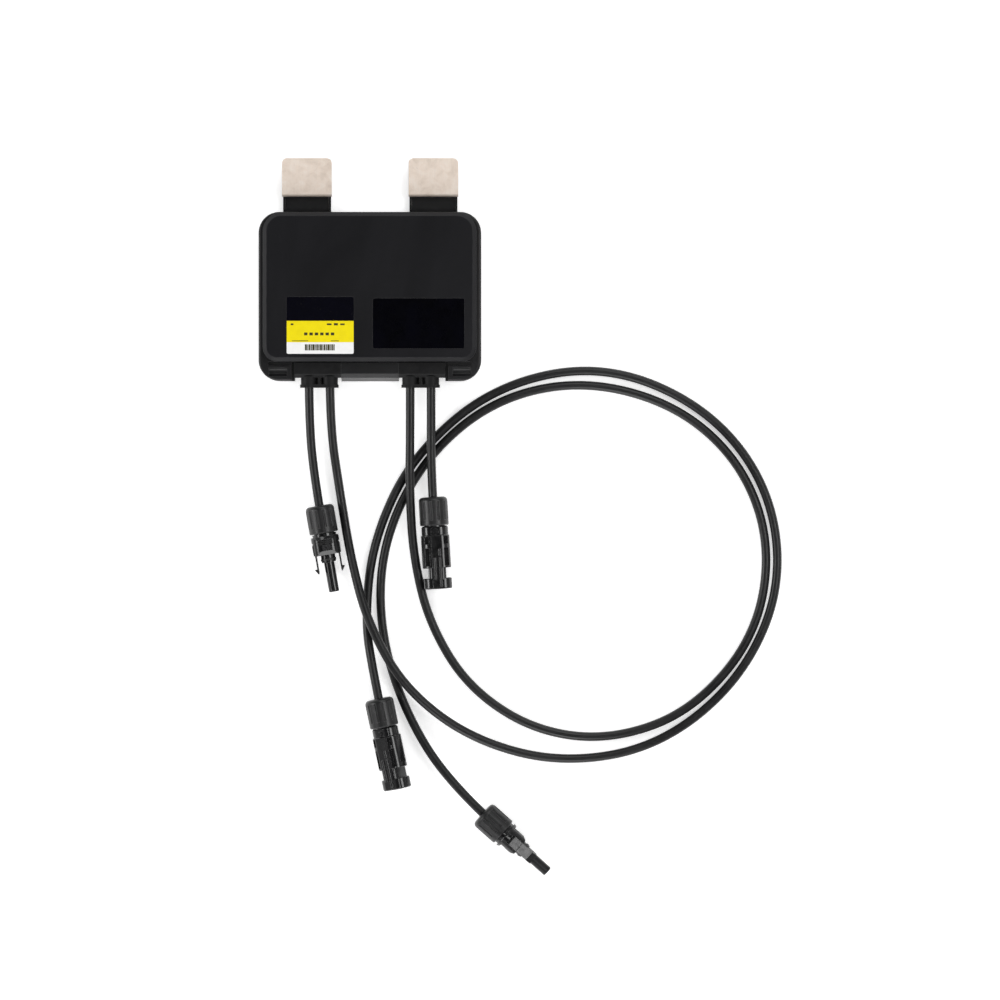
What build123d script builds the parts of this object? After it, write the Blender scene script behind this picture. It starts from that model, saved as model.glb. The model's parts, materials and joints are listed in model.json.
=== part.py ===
from build123d import *
import math
import os

# Module-level DC power unit for a photovoltaic panel, lying on its back.
# Millimetres. +Z is up, away from the rear face; +Y points to the frame clips; the leads leave towards -Y.
# The origin is the centre of the rear housing's rear face.

os.makedirs("parts", exist_ok=True)

# ---------------------------------------------------------------- driving dimensions
# case
case_width = 138.4
case_length = 105.1
case_height = 22.9
case_corner_radius = 13.0
rim_height = 15.0
floor_thickness = 2.5
foot_bevel = 1.0
rim_softening = 1.5

# front cover
cover_width = 132.6
cover_north = 51.9
cover_south = -40.6
cover_wall = 2.0
cover_bevel = 2.3
cover_north_radius = 12.0
cover_south_radius = 9.0
label_recess = 0.25
label_thickness = 0.2

# labels on the front cover: extent in x, then in y
label_places = {
    "nameplate_label": ((-51.3, -9.8), (-36.0, -0.8)),
    "rating_label": ((2.2, 58.7), (-32.6, -1.7)),
}
label_gap = 0.1

# gasket between cover and rear housing
gasket_inset = 0.3
gasket_width = 1.4
gasket_height = 1.0

# south lip: two gland blocks between two corner bumpers and a middle section
lip_front = -50.4
gland_block_inner = 17.9
gland_block_outer = 46.9
lip_bevel = 2.0
bumper_gap = 1.8
bumper_gap_depth = 4.0
scoop_start = 51.5
scoop_length = 11.3
scoop_centre = -47.0
scoop_radius = 2.75
scoop_depth = 1.6
foot_groove_depth = 1.6
foot_groove_width = 0.9
bumper_groove_width = 2.4
# the middle section's front in side view, as y and z: bevel, then a steep slope down to the foot
middle_front = [(-48.1, 15.0), (-50.6, 12.9), (-52.5, 1.0)]
collar_length = 6.3
collar_radius = 5.0
collar_flange_length = 1.9
collar_group_width = 24.0
collar_flange_height = 9.4

# leads
lead_diameter = 5.5
lead_radius = lead_diameter / 2
lead_bore_radius = lead_radius + 0.05
lead_exit_height = 9.8
lead_start = -44.0
lead_offsets = (25.0, 38.0)
conductor_radius = 1.3

# frame clips and their bracket arms
clip_centre = 39.4
arm_width = 29.9
arm_thickness = 2.0
arm_bottom = 1.5
arm_south = 20.0
arm_north = 84.5
arm_corner_radius = 3.0
arm_clearance = 0.3
pad_margin = 2.0
pad_south = 14.0
clip_width = 31.0
clip_back_width = 25.6
clip_south = 62.4
clip_north = 86.3
clip_sheet = 0.8
clip_gap = 3.4
clip_corner_radius = 3.0
rivet_shank_radius = 1.5
rivet_head_radius = 2.5
rivet_head_height = 0.8
rivet_row = 76.0
rivet_spacing = 15.0
thumb_window = (12.0, 9.0)
thumb_window_south = 25.0

# latching connectors; local X runs from the cable entry to the tip
nut_radius = 8.95
nut_cavity_radius = 6.6
nut_hole_radius = 3.25
nut_back_thickness = 3.0
plug_nut_length = 17.4
receptacle_nut_length = 17.8
nut_gap = 0.3
nut_flutes = 12
flute_radius = 1.0
flute_depth = 0.6
flute_start = 2.6
flute_end_margin = 3.4
back_edge_radius = 2.6
neck_radius = 6.5
neck_start = 7.5
cable_end_depth = 15.5
seal_radius = 3.6
cage_inner_radius = 3.7
cage_outer_radius = 4.9
neck_bore_radius = 5.0
contact_radius = 2.0
contact_bore_radius = 2.05

plug_length = 54.4
plug_tube_radius = 3.25
plug_tube_start = 35.6
plug_collar_radius = 4.5
plug_waist_radius = 7.6
shoulder_start = 19.3
shoulder_end = 31.0
shoulder_width = 17.6
shoulder_height = 13.6
shoulder_corner = 6.4
shoulder_cone_end = 24.6
shoulder_bevel_start = 28.4
shoulder_end_height = 10.8
shoulder_recess = (21.2, 24.4)
o_ring_groove = (33.2, 34.7)
arm_root = 23.4
latch_offset = 7.4
latch_width = 6.6
latch_sheet = 1.0
latch_pad_end = 30.5
latch_hook = 39.0
latch_tip = 42.4

receptacle_length = 57.3
barrel_start = 23.7
barrel_width = 17.7
barrel_height = 14.0
barrel_corner = 6.0
waist_width = 16.6
waist_height = 12.8
notch_start = 44.3
notch_end = 50.6
notch_width = 10.6
notch_height = 13.8
mouth_width = 17.7
mouth_height = 13.4
mouth_bore_radius = 5.0
mouth_bore_depth = 6.4
mouth_window = (6.2, 8.0)
mouth_window_half_height = 3.4
tube_bore_radius = 3.45
tube_bore_start = 36.5
pin_radius = 1.2
pin_end = 48.5
rib_offset = 1.55
rib_width = 1.7
rib_top = 7.9
rib_spans = {1: [(32.4, 36.7), (37.5, 56.0)], -1: [(37.8, 51.6)]}
panel_spans = [(24.6, 29.4), (31.8, 43.0)]
panel_inner = 4.5
panel_outer = 7.3
panel_floor = 4.2
key_boss_centre = 21.6
key_boss_radius = 1.8
grip_span = (27.0, 41.0)
grip_half_height = 2.4
grip_depth = 0.6

# electronics
board_bottom = 5.8
board_thickness = 1.6
board_top = board_bottom + board_thickness
board_half_width = 62.5
board_south = -33.0
board_north = 48.0
screw_places = [(x, y) for x in (-59.5, 59.5) for y in (-29.0, 44.0)]
boss_radius = 3.2
inductor_centre = (0.0, 29.0)
inductor_width = 34.0
inductor_depth = 22.0
inductor_height = 11.0
inductor_leg = 10.0
inductor_yoke = 4.5
winding_overhang = 5.0
capacitor_radius = 5.0
capacitor_height = 11.5
capacitor_places = [(x, y) for x in (-52.0, -40.5, -29.0) for y in (8.0, 20.0)]
transistor_height = 4.4
transistor_places = (-21.0, -7.0, 7.0, 21.0)

# Each connector: where the cable enters its nut, its direction in plan, the height of its axis, and how far
# it is rolled about that axis, in degrees.
connectors = {
    "short_plug": ((-31.7, -130.1), (0.174, -0.985), 9.1, 0),
    "short_receptacle": ((39.0, -124.7), (0.060, -0.998), 9.4, -6),
    "long_receptacle": ((5.3, -250.3), (0.207, -0.978), 9.1, 35),
    "long_plug": ((70.0, -321.7), (0.746, -0.666), 10.4, 90),
}


# ---------------------------------------------------------------- helpers
def block(xs, ys, zs):
    """A box between two corners."""
    size = [high - low for low, high in (xs, ys, zs)]
    middle = [(low + high) / 2 for low, high in (xs, ys, zs)]
    return Pos(*middle) * Box(*size)


def plate(xs, ys, zs, north_radius, south_radius):
    """An upright plate with one corner radius at its +Y end and one at its -Y end."""
    outline = Pos((xs[0] + xs[1]) / 2, (ys[0] + ys[1]) / 2) * Rectangle(xs[1] - xs[0], ys[1] - ys[0])
    rows = outline.vertices().group_by(Axis.Y)
    outline = fillet(rows[-1], north_radius)
    rows = outline.vertices().group_by(Axis.Y)
    outline = fillet(rows[0], south_radius)
    return Pos(0, 0, zs[0]) * extrude(outline, zs[1] - zs[0])


def post(x, y, low, high, radius):
    """An upright round post."""
    return Pos(x, y, (low + high) / 2) * Cylinder(radius, high - low)


def spindle(y0, y1, x, z, radius):
    """A round bar along Y."""
    return Pos(x, (y0 + y1) / 2, z) * Rot(90, 0, 0) * Cylinder(radius, y1 - y0)


def turned(start, end, radius):
    """A round bar along a connector's own X axis."""
    plane = Plane(origin=(start, 0, 0), z_dir=(1, 0, 0))
    return plane * Cylinder(radius, end - start, align=(Align.CENTER, Align.CENTER, Align.MIN))


def bar(start, end, width, height, corner):
    """A rounded rectangular bar along a connector's own X axis."""
    plane = Plane(origin=(start, 0, 0), x_dir=(0, 1, 0), z_dir=(1, 0, 0))
    return plane * extrude(RectangleRounded(width, height, corner), end - start)


def cover_outline(inset, zs):
    """The cover's outline, moved inwards, as a plate."""
    half = cover_width / 2 - inset
    return plate(
        (-half, half),
        (cover_south + inset, cover_north - inset),
        zs,
        cover_north_radius - inset,
        cover_south_radius - inset,
    )


def save(name, shape):
    """Write one sub-part, as one solid or as a group of separate solids."""
    solids = shape.solids()
    whole = solids[0] if len(solids) == 1 else Compound(children=list(solids))
    export_step(whole, f"parts/{name}.step")


# ---------------------------------------------------------------- case
gasket_zone = cover_outline(gasket_inset, (rim_height - gasket_height, rim_height)) - cover_outline(
    gasket_inset + gasket_width, (rim_height - gasket_height, rim_height)
)


def arm_space(side, grow, zs, ys):
    """The space round one bracket arm inside the rear housing."""
    half = arm_width / 2 + grow
    return block((side * clip_centre - half, side * clip_centre + half), ys, zs)


def both_ends(side, near, far):
    """An interval along X, mirrored to one side."""
    return sorted((side * near, side * far))


def foot_groove(xs, width):
    """The groove along the south foot of the cover."""
    return block(xs, (cover_south - width, cover_south), (rim_height - foot_groove_depth, rim_height + 1))


def make_rear_housing():
    half_width = case_width / 2
    half_length = case_length / 2
    above = rim_height + 1
    inside = cover_wall
    body = plate(
        (-half_width, half_width),
        (-half_length, half_length),
        (0, rim_height),
        case_corner_radius,
        case_corner_radius,
    )
    body = chamfer(body.edges().group_by(Axis.Z)[0], foot_bevel)
    body = fillet(body.edges().group_by(Axis.Z)[-1], rim_softening)
    body -= cover_outline(inside, (floor_thickness, above))
    for x, y in screw_places:
        body += post(x, y, floor_thickness - 0.5, board_bottom, boss_radius)
    # raised pads round the bracket arms' pockets, and a thumb window in the rear face to push each arm out
    pocket = (arm_bottom - arm_clearance, arm_bottom + arm_thickness + arm_clearance)
    pad = (floor_thickness - 0.5, pocket[1] + 1.5)
    window_width, window_length = thumb_window
    for side in (-1, 1):
        body += arm_space(side, arm_clearance + pad_margin, pad, (pad_south, half_length - inside))
        body -= arm_space(side, arm_clearance, pocket, (arm_south - arm_clearance, half_length + 1))
        centre = side * clip_centre
        body -= block(
            (centre - window_width / 2, centre + window_width / 2),
            (thumb_window_south, thumb_window_south + window_length),
            (-1, pocket[0] + 0.5),
        )
    for x, y in screw_places:
        body -= post(x, y, floor_thickness, board_bottom + 1, conductor_radius)
    body -= foot_groove((-gland_block_outer, gland_block_outer), foot_groove_width)
    far = -case_length
    beyond_front = [*middle_front, (far, middle_front[-1][1]), (far, above), (middle_front[0][0], above)]
    beyond_front = Plane.YZ * make_face(Polyline(beyond_front, close=True))
    body -= extrude(beyond_front, gland_block_inner, both=True)
    for side in (-1, 1):
        # room for the gland block, which stands back from the corner bumper
        block_span = both_ends(side, gland_block_inner, gland_block_outer)
        body -= block(block_span, (-half_length - 1, lip_front), (-1, above))
        body -= block(block_span, (lip_front - 1, cover_south + inside + 1), (floor_thickness, above))
        # open joint between the gland block and the bumper
        gap_span = both_ends(side, gland_block_outer - 1, gland_block_outer + bumper_gap)
        body -= block(gap_span, (-half_length - 1, cover_south), (rim_height - bumper_gap_depth, above))
        # groove along the cover's foot, then a shallow scoop across the bumper
        groove_span = both_ends(side, gland_block_outer + bumper_gap, cover_width / 2 - 3)
        body -= foot_groove(groove_span, bumper_groove_width)
        scoop = Rot(0, 90, 0) * Cylinder(scoop_radius, scoop_length)
        scoop_x = side * (scoop_start + scoop_length / 2)
        body -= Pos(scoop_x, scoop_centre, rim_height + scoop_radius - scoop_depth) * scoop
    body -= gasket_zone
    return body


def make_front_cover():
    body = cover_outline(0, (rim_height, case_height))
    body = chamfer(body.edges().group_by(Axis.Z)[-1], cover_bevel)
    body -= cover_outline(cover_wall, (rim_height - 1, case_height - cover_wall))
    # spigot that drops inside the housing wall
    lip = cover_outline(cover_wall + 0.2, (rim_height - 1.8, rim_height + 0.5))
    lip -= cover_outline(cover_wall + 1.4, (rim_height - 2.8, rim_height + 1.5))
    web = cover_outline(cover_wall - 0.5, (rim_height + 0.1, rim_height + 0.5))
    web -= cover_outline(cover_wall + 1.4, (rim_height - 1, rim_height + 1.5))
    body += lip + web
    recess = (case_height - label_recess, case_height + 1)
    for (west, east), (south, north) in label_places.values():
        body -= plate(
            (west - label_gap, east + label_gap), (south - label_gap, north + label_gap), recess, 1, 1
        )
    return body


def make_label(name):
    xs, ys = label_places[name]
    low = case_height - label_recess
    return plate(xs, ys, (low, low + label_thickness), 0.9, 0.9)


def make_gland_block(side):
    """Moulded block that seals two leads into the south wall, with two round collars outside."""
    wall = cover_south + cover_wall
    whole = both_ends(side, gland_block_inner, gland_block_outer)
    body = block(whole, (lip_front, wall), (floor_thickness, rim_height))
    outer_edge = body.edges().filter_by(Axis.X).group_by(Axis.Z)[-1].sort_by(Axis.Y)[0]
    body = chamfer(outer_edge, lip_bevel)
    body -= foot_groove(whole, foot_groove_width)
    body -= gasket_zone
    inner = both_ends(side, gland_block_inner + 1.6, gland_block_outer - 1.6)
    body += block(inner, (wall - 0.5, wall + 2.5), (floor_thickness + 1.4, rim_height - 3.0))
    centre = side * sum(lead_offsets) / 2
    end = lip_front - collar_length
    for offset in lead_offsets:
        body += spindle(end, lip_front + 0.5, side * offset, lead_exit_height, collar_radius)
    # thin web and ridge between the collars, and the flange that ties their ends together
    along_collars = (end, lip_front + 0.5)
    web = (lead_exit_height - 2.6, lead_exit_height + 1.4)
    ridge = (lead_exit_height - 3.6, lead_exit_height + 4.0)
    body += block((centre - 3, centre + 3), along_collars, web)
    body += block((centre - 0.7, centre + 0.7), along_collars, ridge)
    flange_plane = Plane(origin=(centre, end, lead_exit_height), x_dir=(1, 0, 0), z_dir=(0, 1, 0))
    flange = RectangleRounded(collar_group_width, collar_flange_height, 3.6)
    body += flange_plane * extrude(flange, collar_flange_length)
    for offset in lead_offsets:
        body -= spindle(end - 1, lead_start, side * offset, lead_exit_height, lead_bore_radius)
        body -= spindle(lead_start - 1, wall + 4, side * offset, lead_exit_height, conductor_radius + 0.05)
    return body


# ---------------------------------------------------------------- frame clips
def make_bracket_arm(side):
    centre = side * clip_centre
    half = arm_width / 2
    top = arm_bottom + arm_thickness
    body = plate(
        (centre - half, centre + half), (arm_south, arm_north), (arm_bottom, top), arm_corner_radius, 1.5
    )
    # stiffening rails beside the clip, outside the case
    for edge in (-1, 1):
        xs = sorted((centre + edge * (half - 1.4), centre + edge * half))
        body += block(xs, (case_length / 2 + 1.5, arm_north - arm_corner_radius), (top - 0.5, top + 1.0))
    for x, y in rivet_places(side):
        body -= post(x, y, 0, top + 1, rivet_shank_radius + 0.05)
        body -= post(x, y, 0, arm_bottom + rivet_head_height + 0.05, rivet_head_radius + 0.1)
    return body


def rivet_places(side):
    return [(side * clip_centre + dx, rivet_row) for dx in (-rivet_spacing / 2, rivet_spacing / 2)]


def make_frame_clip(side):
    """One bent strip of spring steel: back leaf on the arm, web at the south, front leaf over the gap."""
    centre = side * clip_centre
    low = arm_bottom + arm_thickness
    high = low + 2 * clip_sheet + clip_gap
    outer = block((centre - clip_width / 2, centre + clip_width / 2), (clip_south, clip_north), (low, high))
    bends = outer.edges().filter_by(Axis.X).group_by(Axis.Y)[0]
    outer = fillet(bends, 1.8)
    space = block(
        (centre - clip_width, centre + clip_width),
        (clip_south + clip_sheet, clip_north + 5),
        (low + clip_sheet, high - clip_sheet),
    )
    bends = space.edges().filter_by(Axis.X).group_by(Axis.Y)[0]
    body = outer - fillet(bends, 1.0)
    # the back leaf is narrower, between the arm's rails, and ends short of the front leaf
    for edge in (-1, 1):
        xs = sorted((centre + edge * clip_back_width / 2, centre + edge * clip_width))
        body -= block(xs, (clip_south - 1, clip_north + 1), (low - 1, low + 1.35))
    whole_width = (centre - clip_width, centre + clip_width)
    body -= block(whole_width, (clip_north - 3.5, clip_north + 1), (low - 1, low + clip_sheet + 0.1))
    corners = body.edges().filter_by(Axis.Z).group_by(Axis.Y)[-1]
    body = fillet(corners, clip_corner_radius)
    for x, y in rivet_places(side):
        body -= post(x, y, 0, low + clip_sheet + 0.2, rivet_shank_radius + 0.05)
    return body


def make_rivets(side):
    low = arm_bottom
    top = arm_bottom + arm_thickness + clip_sheet
    group = []
    for x, y in rivet_places(side):
        rivet = post(x, y, low, top + 0.2, rivet_shank_radius)
        rivet += post(x, y, low, low + rivet_head_height, rivet_head_radius)
        rivet += post(x, y, top, top + rivet_head_height, rivet_head_radius)
        group.append(rivet.solids()[0])
    return Compound(children=group)


# ---------------------------------------------------------------- electronics
def make_circuit_board():
    board = plate(
        (-board_half_width, board_half_width), (board_south, board_north), (board_bottom, board_top), 6, 6
    )
    for x, y in screw_places:
        board -= post(x, y, 0, board_top + 1, 1.6)
    return board


def make_board_screws():
    group = []
    for x, y in screw_places:
        screw = post(x, y, floor_thickness + 0.3, board_top + 0.5, conductor_radius - 0.05)
        screw += post(x, y, board_top, board_top + 1.7, 2.6)
        screw -= block((x - 1.8, x + 1.8), (y - 0.3, y + 0.3), (board_top + 1.0, board_top + 2))
        group.append(screw.solids()[0])
    return Compound(children=group)


def make_potting():
    return plate((-48, 48), (-33, 12), (floor_thickness, board_bottom), 3, 3)


def make_inductor_core():
    """An E core: two windows beside its middle leg."""
    x, y = inductor_centre
    half = inductor_width / 2
    top = board_top + inductor_height
    core = block((x - half, x + half), (y - inductor_depth / 2, y + inductor_depth / 2), (board_top, top))
    for side in (-1, 1):
        xs = sorted((x + side * inductor_leg / 2, x + side * (half - inductor_yoke)))
        core -= block(xs, (y - inductor_depth, y + inductor_depth), (board_top + 2.5, top - 2.5))
    return core


def make_inductor_winding():
    """A flat coil round the middle leg; its heads stand out of both sides of the core."""
    x, y = inductor_centre
    inner = inductor_leg / 2 + 0.2
    outer = inductor_width / 2 - inductor_yoke - 0.3
    head = inductor_depth / 2 + winding_overhang
    gap = inductor_depth / 2 + 0.2
    top = board_top + inductor_height
    ring = plate((x - outer, x + outer), (y - head, y + head), (board_top + 2.7, top - 2.7), 5, 5)
    return ring - plate((x - inner, x + inner), (y - gap, y + gap), (board_top, top), 0.5, 0.5)


def make_capacitors():
    group = []
    for x, y in capacitor_places:
        can = post(x, y, board_top, board_top + capacitor_height, capacitor_radius)
        group.append(fillet(can.edges().group_by(Axis.Z)[-1], 0.8).solids()[0])
    return Compound(children=group)


def make_transistors():
    group = []
    for x in transistor_places:
        package = block((x - 5, x + 5), (-18.0, -9.0), (board_top, board_top + transistor_height))
        group.append(chamfer(package.edges().group_by(Axis.Z)[-1], 0.5).solids()[0])
    return Compound(children=group)


def make_heat_spreader():
    low = board_top + transistor_height
    return plate((-30, 30), (-21.0, -6.0), (low, low + 1.5), 2, 2)


def make_bypass_diodes():
    return Compound(children=[
        block((x - 3.3, x + 3.3), (-16.0, -10.0), (board_top, board_top + 2.3)) for x in (38.0, 48.0)
    ])


def make_control_chips():
    sizes = {(40.0, 4.0): 12.0, (33.0, 24.0): 7.0}
    return Compound(children=[
        block((x - size / 2, x + size / 2), (y - size / 2, y + size / 2), (board_top, board_top + 1.4))
        for (x, y), size in sizes.items()
    ])


def make_signal_transformer():
    return Pos(48, 34, board_top + 2.6) * Torus(5.6, 2.6)


def make_terminals():
    group = []
    for side in (-1, 1):
        for offset in lead_offsets:
            x = side * offset
            ys = (board_south + 0.5, board_south + 8)
            body = block((x - 3.5, x + 3.5), ys, (board_top, board_top + 5.4))
            body -= spindle(board_south, board_south + 6, x, lead_exit_height, conductor_radius + 0.05)
            group.append(body.solids()[0])
    return Compound(children=group)


def make_conductors():
    return Compound(children=[
        spindle(lead_start, board_south + 5.5, side * offset, lead_exit_height, conductor_radius)
        for side in (-1, 1)
        for offset in lead_offsets
    ])


# ---------------------------------------------------------------- connectors, in their own frame
def make_cap_nut(length):
    nut = turned(0, length, nut_radius)
    nut = fillet(nut.edges().group_by(Axis.X)[0], back_edge_radius)
    nut = chamfer(nut.edges().group_by(Axis.X)[-1], 0.5)
    flute = turned(flute_start, length - flute_end_margin, flute_radius)
    flute_centre = nut_radius + flute_radius - flute_depth
    for number in range(nut_flutes):
        angle = 2 * math.pi * (number + 0.5) / nut_flutes
        nut -= Pos(0, flute_centre * math.cos(angle), flute_centre * math.sin(angle)) * flute
    nut -= turned(nut_back_thickness, length + 1, nut_cavity_radius)
    nut -= turned(-1, nut_back_thickness + 1, nut_hole_radius)
    return nut


def make_clamp_cage():
    """Flange inside the nut, with slotted fingers that press on the cable seal."""
    cage = turned(nut_back_thickness + 0.3, neck_start - 0.7, nut_cavity_radius - 0.3)
    cage += turned(neck_start - 1.0, 12.5, cage_outer_radius)
    cage -= turned(0, neck_start, nut_hole_radius + 0.1)
    cage -= turned(neck_start - 0.3, 14, cage_inner_radius)
    for number in range(3):
        slot = block((neck_start, 14), (-8, 8), (-0.5, 0.5))
        cage -= Rot(60 * number, 0, 0) * slot
    return cage


def make_cable_seal():
    return turned(neck_start + 0.7, cable_end_depth - 0.4, seal_radius) - turned(
        neck_start, cable_end_depth, lead_bore_radius
    )


def threaded_neck(body_start):
    """Neck that the cap nut screws onto, drawn as a plain cylinder at the thread's running size."""
    neck = turned(neck_start, body_start + 0.5, neck_radius)
    return chamfer(neck.edges().group_by(Axis.X)[0], 0.5)


def hollow_neck(body):
    body -= turned(neck_start - 1, cable_end_depth, neck_bore_radius)
    return body - turned(cable_end_depth - 1, receptacle_length, contact_bore_radius)


def latch_pocket(side):
    """The space at one flank of the shoulder that a latch arm lies in, open to the outside."""
    half = latch_width / 2 + 0.3
    return block((arm_root - 0.3, shoulder_end + 1), both_ends(side, 5.4, nut_radius + 1), (-half, half))


def make_plug_body():
    body_start = plug_nut_length + nut_gap
    body = threaded_neck(body_start)
    body += turned(body_start, shoulder_start + 0.5, plug_waist_radius)
    cone = turned(shoulder_start, shoulder_cone_end, nut_radius - 0.2)
    cone_run = shoulder_cone_end - shoulder_start
    cone_rise = nut_radius - 0.2 - shoulder_height / 2
    cone = chamfer(cone.edges().group_by(Axis.X)[-1], cone_run - 0.01, cone_rise)
    # flat-sided shoulder, bevelled to a thinner end
    shoulder = bar(shoulder_start + 0.6, shoulder_end, shoulder_width, shoulder_height, shoulder_corner)
    side_view = [
        (shoulder_start, -shoulder_height / 2),
        (shoulder_bevel_start, -shoulder_height / 2),
        (shoulder_end, -shoulder_end_height / 2),
        (shoulder_end, shoulder_end_height / 2),
        (shoulder_bevel_start, shoulder_height / 2),
        (shoulder_start, shoulder_height / 2),
    ]
    wedge = Plane.XZ * make_face(Polyline(side_view, close=True))
    shoulder &= extrude(wedge, shoulder_width, both=True)
    body += shoulder + cone
    for side in (-1, 1):
        body -= latch_pocket(side)
        recess_floor = shoulder_height / 2 - 1.2
        body -= block(shoulder_recess, (-4.5, 4.5), both_ends(side, recess_floor, nut_radius + 1))
    body += turned(shoulder_end - 0.5, plug_tube_start, plug_collar_radius)
    tube = turned(plug_tube_start - 0.5, plug_length, plug_tube_radius)
    body += chamfer(tube.edges().group_by(Axis.X)[-1], 0.5)
    body -= turned(*o_ring_groove, 6) - turned(33.0, 35.0, 4.0)
    return hollow_neck(body)


def make_o_ring():
    start, end = o_ring_groove
    return turned(start + 0.05, end - 0.05, 4.8) - turned(start - 1, end + 1, 4.05)


def make_socket_contact():
    return turned(cable_end_depth, plug_length - 1.7, contact_radius) - turned(42.0, plug_length, 1.25)


def make_latch(side):
    """A springy arm with a finger pad and an arrow-shaped hook, drawn as a piece hinged at its root."""
    inner = latch_offset - latch_sheet / 2
    outer = latch_offset + latch_sheet / 2
    outline = [
        (arm_root, inner - 0.5),
        (latch_pad_end, inner - 0.5),
        (latch_pad_end + 0.8, inner),
        (latch_tip - 1.0, inner),
        (latch_tip, inner + 0.5),
        (latch_hook + 0.3, outer + 1.5),
        (latch_hook, outer + 1.3),
        (latch_hook, outer),
        (latch_pad_end + 0.2, outer),
        (latch_pad_end, outer + 0.7),
        (arm_root + 1.2, outer + 0.8),
        (arm_root, outer + 0.3),
    ]
    face = make_face(Polyline([(x, side * y) for x, y in outline], close=True))
    return Pos(0, 0, -latch_width / 2) * extrude(face, latch_width, dir=(0, 0, 1))


def make_rib(span, offset, face):
    """A rib with a rounded crest, along the top or the bottom of a receptacle."""
    crest = rib_width / 2
    low = barrel_height / 2 - 2.0
    rib = block(span, (offset - crest, offset + crest), (low, rib_top))
    edges = rib.edges().filter_by(Axis.X).group_by(Axis.Z)[-1]
    rib = fillet(edges, crest - 0.1)
    return rib if face > 0 else Rot(180, 0, 0) * rib


def make_receptacle_body():
    body_start = receptacle_nut_length + nut_gap
    body = threaded_neck(body_start)
    waist = bar(body_start, barrel_start + 1, waist_width, waist_height, barrel_corner)
    body += chamfer(waist.edges().group_by(Axis.X)[0], 0.8)
    barrel = bar(barrel_start, notch_start, barrel_width, barrel_height, barrel_corner)
    barrel = chamfer(barrel.edges().group_by(Axis.X)[0], 0.5)
    body += chamfer(barrel.edges().group_by(Axis.X)[-1], 0.4)
    body += bar(notch_start - 1, notch_end + 1, notch_width, notch_height, 2.5)
    mouth = bar(notch_end, receptacle_length, mouth_width, mouth_height, barrel_corner - 0.2)
    mouth = chamfer(mouth.edges().group_by(Axis.X)[-1], 0.6)
    body += chamfer(mouth.edges().group_by(Axis.X)[0], 0.3)
    for face in (-1, 1):
        for start, end in panel_spans:
            for side in (-1, 1):
                panel = both_ends(side, panel_inner, panel_outer)
                body -= block((start, end), panel, both_ends(face, panel_floor, barrel_height))
        # two ribs along the top and the bottom, and a small key boss near the nut
        for side, spans in rib_spans.items():
            for span in spans:
                body += make_rib(span, side * rib_offset, face)
        body += Pos(key_boss_centre, 0, face * waist_height / 2) * Cylinder(key_boss_radius, 2.0)
    for side in (-1, 1):
        # windows in the mouth for a plug's latch arms, and a grip recess on each flank
        window_zs = (-mouth_window_half_height, mouth_window_half_height)
        body -= block((notch_end - 1, receptacle_length + 1), both_ends(side, *mouth_window), window_zs)
        flank = both_ends(side, barrel_width / 2 - grip_depth, barrel_width)
        body -= block(grip_span, flank, (-grip_half_height, grip_half_height))
    body -= turned(receptacle_length - mouth_bore_depth, receptacle_length + 1, mouth_bore_radius)
    body -= turned(tube_bore_start, receptacle_length, tube_bore_radius)
    return hollow_neck(body)


def make_pin_contact():
    contact = turned(cable_end_depth, tube_bore_start + 1.0, contact_radius)
    pin = turned(tube_bore_start + 0.5, pin_end, pin_radius)
    return contact + fillet(pin.edges().group_by(Axis.X)[-1], 0.6)


def connector_place(name):
    """Where a connector's own frame lies: its cable entry, its direction and its roll."""
    (x, y), (dx, dy), height, roll = connectors[name]
    plane = Plane(origin=(x, y, height), x_dir=(dx, dy, 0), z_dir=(0, 0, 1))
    return plane.location * Rot(roll, 0, 0)


# ---------------------------------------------------------------- leads
def along(name, depth):
    """A point on a connector's axis, at a depth from its cable entry."""
    return tuple((connector_place(name) * Pos(depth, 0, 0)).position)


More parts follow.
